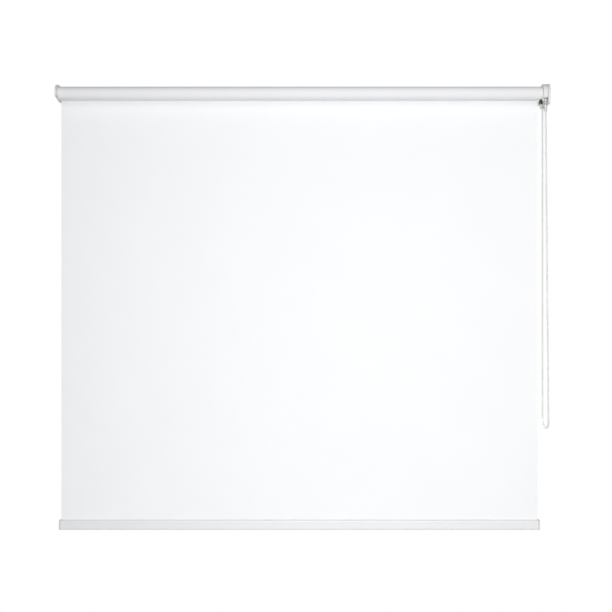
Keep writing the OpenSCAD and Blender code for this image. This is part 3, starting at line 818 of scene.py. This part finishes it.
@dataclass
class BottomRail:
    """The weighted rail: a drawn profile with a cloth slot, its spline and two end caps."""

    edge: float = 3.0 * MM
    edge_steps: int = 6
    slot: float = 1.6 * MM
    slot_depth: float = 3.0 * MM
    line_depth: float = 0.35 * MM
    line_half: float = 0.45 * MM
    line_in: float = 0.8 * MM
    cap_gap: float = 0.3 * MM
    cap_crown: float = 1.1 * MM

    def __post_init__(self) -> None:
        """Reads the rail's box from the frame."""
        self.low, self.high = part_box("bottom_rail")
        self.y = (self.low.y + self.high.y) / 2
        self.half = (self.high.y - self.low.y) / 2

    def outline(self) -> list[tuple[float, float]]:
        """The profile's rounded outline in Y and Z, from the top's back corner by the front."""
        points = []
        corners = [
            (self.y + self.half, self.high.z, 0), (self.y - self.half, self.high.z, 90),
            (self.y - self.half, self.low.z, 180), (self.y + self.half, self.low.z, 270),
        ]
        for y, z, start in corners:
            centre_y = y - math.copysign(self.edge, y - self.y)
            centre_z = z - math.copysign(self.edge, z - (self.low.z + self.high.z) / 2)
            for step in range(self.edge_steps + 1):
                angle = math.radians(start + 90 * step / self.edge_steps)
                points.append((centre_y + self.edge * math.cos(angle),
                               centre_z + self.edge * math.sin(angle)))
        return points

    def swept(self, points: list[tuple[float, float]], x0: float, x1: float) -> bmesh.types.BMesh:
        """Draws an outline along the rail into a closed bar.

        Args:
            points: The outline in Y and Z.
            x0: Where the bar starts.
            x1: Where it ends.

        Returns:
            The bar.
        """
        mesh = bmesh.new()
        corners = [mesh.verts.new((x0, y, z)) for y, z in points]
        face = mesh.faces.new(corners)
        grown = bmesh.ops.extrude_face_region(mesh, geom=[face])
        moved = [item for item in grown["geom"] if isinstance(item, bmesh.types.BMVert)]
        bmesh.ops.translate(mesh, vec=(x1 - x0, 0.0, 0.0), verts=moved)
        bmesh.ops.recalc_face_normals(mesh, faces=mesh.faces)
        return mesh

    def profile(self) -> list[tuple[float, float]]:
        """The rail's own outline: its slot on top, and shallow lines on both of its faces."""
        whole = self.outline()
        corner = self.edge_steps + 1
        back_of_slot, front_of_slot = self.y + self.slot / 2, self.y - self.slot / 2
        floor = self.high.z - self.slot_depth
        slot = [(back_of_slot, self.high.z), (back_of_slot, floor),
                (front_of_slot, floor), (front_of_slot, self.high.z)]
        front = self.face_lines(self.y - self.half, 1.0, (self.high.z, self.low.z))
        back = self.face_lines(self.y + self.half, -1.0, (self.low.z, self.high.z))
        return (whole[:corner] + slot + whole[corner:2 * corner] + front
                + whole[2 * corner:] + back)

    def face_lines(self, y: float, inward: float,
                   ends: tuple[float, float]) -> list[tuple[float, float]]:
        """Two shallow drawn grooves across a face.

        Args:
            y: The face's place.
            inward: The direction into the metal.
            ends: The heights of the face's first and last corner.

        Returns:
            The points of both grooves, in order.
        """
        way = math.copysign(1.0, ends[1] - ends[0])
        half = self.line_half * way
        depth = y + inward * self.line_depth
        in_from_end = way * (self.edge + self.line_in)
        points = []
        for height in (ends[0] + in_from_end, ends[1] - in_from_end):
            points += [(y, height - half), (depth, height - half / 3),
                       (depth, height + half / 3), (y, height + half)]
        return points

    def cap(self, name: str, side: int) -> None:
        """Makes a moulded end cap with a crowned outer face and a shadow gap next to the rail, in a
        darker copy of the white moulding that paints shade on it.

        Args:
            name: The node that it stands for.
            side: -1 for the left end and 1 for the right one.
        """
        low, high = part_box(name)
        inner, outer = (self.low.x, low.x) if side < 0 else (self.high.x, high.x)
        mesh = self.swept(self.outline(), inner + side * self.cap_gap, outer)
        ring = [edge for edge in mesh.edges
                if all(abs(vert.co.x - outer) < 10 * SAME_POINT for vert in edge.verts)]
        bmesh.ops.bevel(mesh, geom=ring, offset=self.cap_crown, offset_type="OFFSET", segments=4,
                        profile=0.5, affect="EDGES", clamp_overlap=True, material=-1)
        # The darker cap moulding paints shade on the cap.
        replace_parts(shown(mesh, f"{name}_moulding", CAP_PLASTIC_PAINTED_SHADE, "rail"), name)

    def build(self) -> None:
        """Makes the rail, its caps and the spline."""
        bar = self.swept(self.profile(), self.low.x, self.high.x)
        rail = shown(bar, "rail_profile", RAIL_COAT, "rail", 25.0)
        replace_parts(rail, "bottom_rail")
        self.cap("rail_cap_left", -1)
        self.cap("rail_cap_right", 1)
        dress("hem_spline", WHITE_PLASTIC)


# ---------- brackets, idle end and clutch ----------


@dataclass
class Brackets:
    """The two pressed-steel wall brackets with their moulded covers."""

    press_radius: float = 0.35 * MM
    cover_radius: float = 0.8 * MM
    # The left boss is smaller, because its cover slopes away below it.
    left_boss_r: float = 7.6 * MM
    right_boss_r: float = 11.0 * MM
    boss_rise: float = 0.9 * MM
    boss_root: float = 0.6 * MM
    dimple_r: float = 4.0 * MM

    def boss(self, node: str, side: int, radius: float) -> None:
        """Makes the shallow round boss in the middle of a cover's outer face.

        Args:
            node: The cover that it sits on.
            side: -1 for the left bracket and 1 for the right one.
            radius: The boss's radius.
        """
        low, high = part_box(node)
        rise = self.boss_rise
        rim = [(radius, rise * 0.45), (radius - 0.35 * MM, rise * 0.85), (radius - 0.9 * MM, rise),
               (radius - 1.6 * MM, rise), (radius - 2.2 * MM, rise * 0.5)]
        dimple = [(self.dimple_r + 0.2 * MM, rise * 0.5), (self.dimple_r - 0.2 * MM, rise * 0.2),
                  (0.0, rise * 0.2)]
        root = [(0.0, -self.boss_root), (radius, -self.boss_root)]
        place = along_roller(low.x if side < 0 else high.x, roller_axis())
        if side < 0:
            place = place @ Matrix.Rotation(math.pi, 4, "X")
        shown(lathe(root + rim + dimple, place, 72), f"{node}_boss", WHITE_PLASTIC, "root")

    def build(self) -> None:
        """Makes both brackets and both covers."""
        for name, side, radius in (("left", -1, self.left_boss_r), ("right", 1, self.right_boss_r)):
            Rounded(f"{name}_bracket", WHITE_STEEL, self.press_radius, 2).build("root")
            Rounded(f"{name}_bracket_cover", WHITE_PLASTIC, self.cover_radius, 4).build("root")
            self.boss(f"{name}_bracket_cover", side, radius)


@dataclass
class IdleEnd:
    """The free end: plug, spring-loaded pin, bush and clip."""

    edge: float = 0.3 * MM
    bush_edge: float = 0.15 * MM

    def spring(self) -> None:
        """Makes the coil from the imported spring's shape."""
        low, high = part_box("idle_spring")
        mesh = bmesh.new()
        mesh.from_mesh(frame["nodes"]["idle_spring"].data)
        bmesh.ops.remove_doubles(mesh, verts=mesh.verts, dist=SAME_POINT)
        coil = shown(mesh, "idle_coil", WIRE, "roller", 60.0)
        1 - travel("pin_retract") / (high.x - low.x)
        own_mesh(coil)
        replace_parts(coil, "idle_spring")

    def build(self) -> None:
        """Dresses the idle end's pieces."""
        Rounded("idle_plug", WHITE_PLASTIC, self.edge, 2).build("roller")
        Rounded("idle_pin", WIRE, self.edge, 2).build("pin")
        Rounded("pin_bush", WHITE_PLASTIC, self.bush_edge, 2).build("root")
        dress("pin_clip", WIRE)
        self.spring()


@dataclass
class Clutch:
    """The chain clutch: guard, wheel, stripper, core, springs and drive hub."""

    edge: float = 0.35 * MM
    band_rise: float = 0.8 * MM
    band_root: float = 0.4 * MM
    band_edge: float = 0.3 * MM
    band_in: float = 1.1 * MM
    # In degrees from the room's side over the top.
    band_start: float = -38.0
    band_end: float = 120.0
    groove_in: float = 2.6 * MM
    groove_half: float = 0.35 * MM
    tongue_top: float = -14.5 * MM
    tongue_front: float = -18.0 * MM

    def guard_bands(self) -> None:
        """Makes the two raised bands round the guard's drum, with the groove between them."""
        low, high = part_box("chain_guard")
        root, out = high.z - self.band_root, high.z + self.band_rise
        edge = self.band_edge
        groove = high.x - self.groove_in
        mesh = bmesh.new()
        for x0, x1 in ((low.x + self.band_in, groove - self.groove_half),
                       (groove + self.groove_half, high.x)):
            section = [(root, x0), (out - edge, x0), (out, x0 + edge),
                       (out, x1 - edge), (out - edge, x1), (root, x1)]
            ring_sector(mesh, section, roller_axis(), self.band_start, self.band_end)
        shown(mesh, "guard_bands", WHITE_PLASTIC, "root")

    def paint_tongue_shade(self, guard: bpy.types.Object) -> None:
        """Paints shade on the guard's tongue, which is low and towards the wall, with a darker grey
        copy of its moulding.
        """
        guard.data.materials.append(TONGUE_PAINTED_SHADE_PLASTIC.material())
        # Faces low and towards the wall get the painted shade.
        for face in guard.data.polygons:
            if face.center.z < self.tongue_top and face.center.y > self.tongue_front:
                face.material_index = 1

    def build(self) -> None:
        """Dresses the clutch's pieces."""
        guard = Rounded("chain_guard", GUARD_PLASTIC, self.edge, 3).build("root")
        self.paint_tongue_shade(guard)
        self.guard_bands()
        Rounded("chain_stripper", BLACK_PLASTIC, self.edge, 3).build("root")
        Rounded("drive_hub", WHITE_PLASTIC, self.edge, 2).build("roller")
        # The lighter wheel moulding paints light over the shade in the guard's cavity.
        dress("chain_wheel", WHEEL_PLASTIC_PAINTED_LIGHT)
        dress("clutch_core", BLACK_PLASTIC)
        for node in ("core_clip", "wheel_washer", "wrap_springs"):
            dress(node, WIRE)


@dataclass
class Tube:
    """The aluminium roller tube with the tape that holds the cloth."""

    def build(self) -> None:
        """Dresses the tube and its tape."""
        dress("roller_tube", ALUMINIUM)
        dress("fabric_tape", TAPE)


# ---------- camera, light and floor ----------


@dataclass
class Viewpoint:
    """A level camera in front of the blind, a little right of its middle."""

    # The distance to the cloth and the picture's width there.
    distance: float = 1.75
    across: float = 1.2447
    x: float = 6.9 * MM
    z: float = -428.6 * MM
    sensor: float = 36.0

    def build(self, cloth_y: float) -> None:
        """Sets up the camera.

        Args:
            cloth_y: The hanging cloth's plane.
        """
        data = bpy.data.cameras.new("camera")
        data.sensor_width = self.sensor
        data.lens = self.sensor * self.distance / self.across
        data.clip_start = 0.05
        data.clip_end = 50.0
        camera = bpy.data.objects.new("camera", data)
        camera.location = (self.x, cloth_y - self.distance, self.z)
        camera.rotation_euler = (math.radians(90.0), 0.0, 0.0)
        bpy.context.scene.collection.objects.link(camera)
        bpy.context.scene.camera = camera


@dataclass(frozen=True)
class Lamp:
    """One square soft lamp: where it stands, the point that it faces, its side and its power."""

    name: str
    place: tuple[float, float, float]
    aim: tuple[float, float, float]
    side: float
    watts: float

    def build(self) -> None:
        """Adds the lamp, which the camera doesn't see."""
        data = bpy.data.lights.new(self.name, "AREA")
        data.size = self.side
        data.energy = self.watts
        lamp = bpy.data.objects.new(self.name, data)
        lamp.visible_camera = False
        lamp.location = self.place
        facing = Vector(self.aim) - Vector(self.place)
        lamp.rotation_euler = facing.to_track_quat("-Z", "Y").to_euler()
        bpy.context.scene.collection.objects.link(lamp)


LAMPS = (
    Lamp("key", (0.2, -1.9, -0.52), (0.12, 0.0, -0.65), 0.9, 27.8),
    Lamp("top", (0.15, -1.5, 0.75), (0.1, 0.0, -0.2), 0.9, 6.6),
    Lamp("back", (-0.2, 1.9, -0.3), (0.0, 0.0, -0.45), 1.2, 17.0),
)


@dataclass
class Studio:
    """White surroundings, soft lamps and a pale floor below the blind."""

    # The surround's strength in front, above and below, behind, and as a gloss reflects it.
    surround: float = 0.28
    polar: float = 0.1
    backdrop: float = 1.0
    mirrored: float = 0.57
    # From how steep a direction to how level a one, and from where to where behind, they blend.
    level_from: tuple[float, float] = (0.45, 0.15)
    behind_from: tuple[float, float] = (-0.35, 0.4)
    floor_z: float = -1.45
    floor_r: float = 0.85
    floor_glow: float = 0.5

    def sky(self) -> None:
        """A surround that is white to look at and dimmer as a source of light."""
        world = bpy.data.worlds.new("surround")
        bpy.context.scene.world = world
        world.use_nodes = True
        nodes = Nodes(world.node_tree)
        toward = nodes.value("ShaderNodeTexCoord", output="Generated")
        split = nodes.node("ShaderNodeSeparateXYZ", {}, {0: toward})
        depth, height = (Value(nodes, split.outputs[axis]) for axis in "YZ")
        tilt = nodes.value("ShaderNodeMath", {"operation": "ABSOLUTE"}, {0: height})
        level = nodes.span(tilt, self.level_from)
        behind = nodes.span(depth, self.behind_from)
        front = nodes.span(level, (0.0, 1.0), (self.polar, self.surround))
        strength = nodes.span(behind * level, (0.0, 1.0), (front, self.backdrop))
        ray = nodes.node("ShaderNodeLightPath")
        glossy = Value(nodes, ray.outputs["Is Glossy Ray"])
        seen = Value(nodes, ray.outputs["Is Camera Ray"])
        strength = strength * (1.0 - glossy) + glossy * self.mirrored
        strength = strength * (1.0 - seen) + seen
        light = nodes.node("ShaderNodeBackground", {}, {"Color": PLAIN_WHITE, "Strength": strength})
        output = nodes.node("ShaderNodeOutputWorld")
        nodes.tree.links.new(light.outputs[0], output.inputs["Surface"])

    def floor(self) -> None:
        """A round pale floor that glows faintly to the eye, so that it blends into the surround."""
        mesh = bmesh.new()
        bmesh.ops.create_circle(mesh, cap_ends=True, segments=96, radius=self.floor_r,
                                matrix=Matrix.Translation((0.0, 0.0, self.floor_z)))
        data = bpy.data.meshes.new("floor")
        mesh.to_mesh(data)
        mesh.free()
        floor = bpy.data.objects.new("floor", data)
        bpy.context.scene.collection.objects.link(floor)
        shader = Shader("pale_floor")
        grain = shader.noise(shader.place(Face.OBJECT), 40.0)
        shader.feed("Base Color", shader.blend(grain, (0.86, 0.86, 0.86), (0.9, 0.9, 0.9)))
        shader.feed("Roughness", 0.9)
        shader.feed("Emission Color", shader.value("ShaderNodeLightPath", output="Is Camera Ray"))
        shader.feed("Emission Strength", self.floor_glow)
        data.materials.append(shader.material)

    def build(self) -> None:
        """Sets up the surround, the lamps and the floor."""
        bpy.context.scene.view_settings.view_transform = "Standard"
        self.sky()
        for lamp in LAMPS:
            lamp.build()
        self.floor()


def main() -> None:
    """Builds the camera, the chain, the cloth and then everything that is rigid."""
    logging.basicConfig(level=logging.INFO, format="%(name)s: %(message)s")
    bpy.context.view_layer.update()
    cloth = Cloth()
    Viewpoint().build(cloth.plane_y)
    BeadChain().build()
    Studio().build()
    cloth.build()
    BottomRail().build()
    Tube().build()
    Brackets().build()
    IdleEnd().build()
    Clutch().build()


if __name__ == "__main__":
    main()
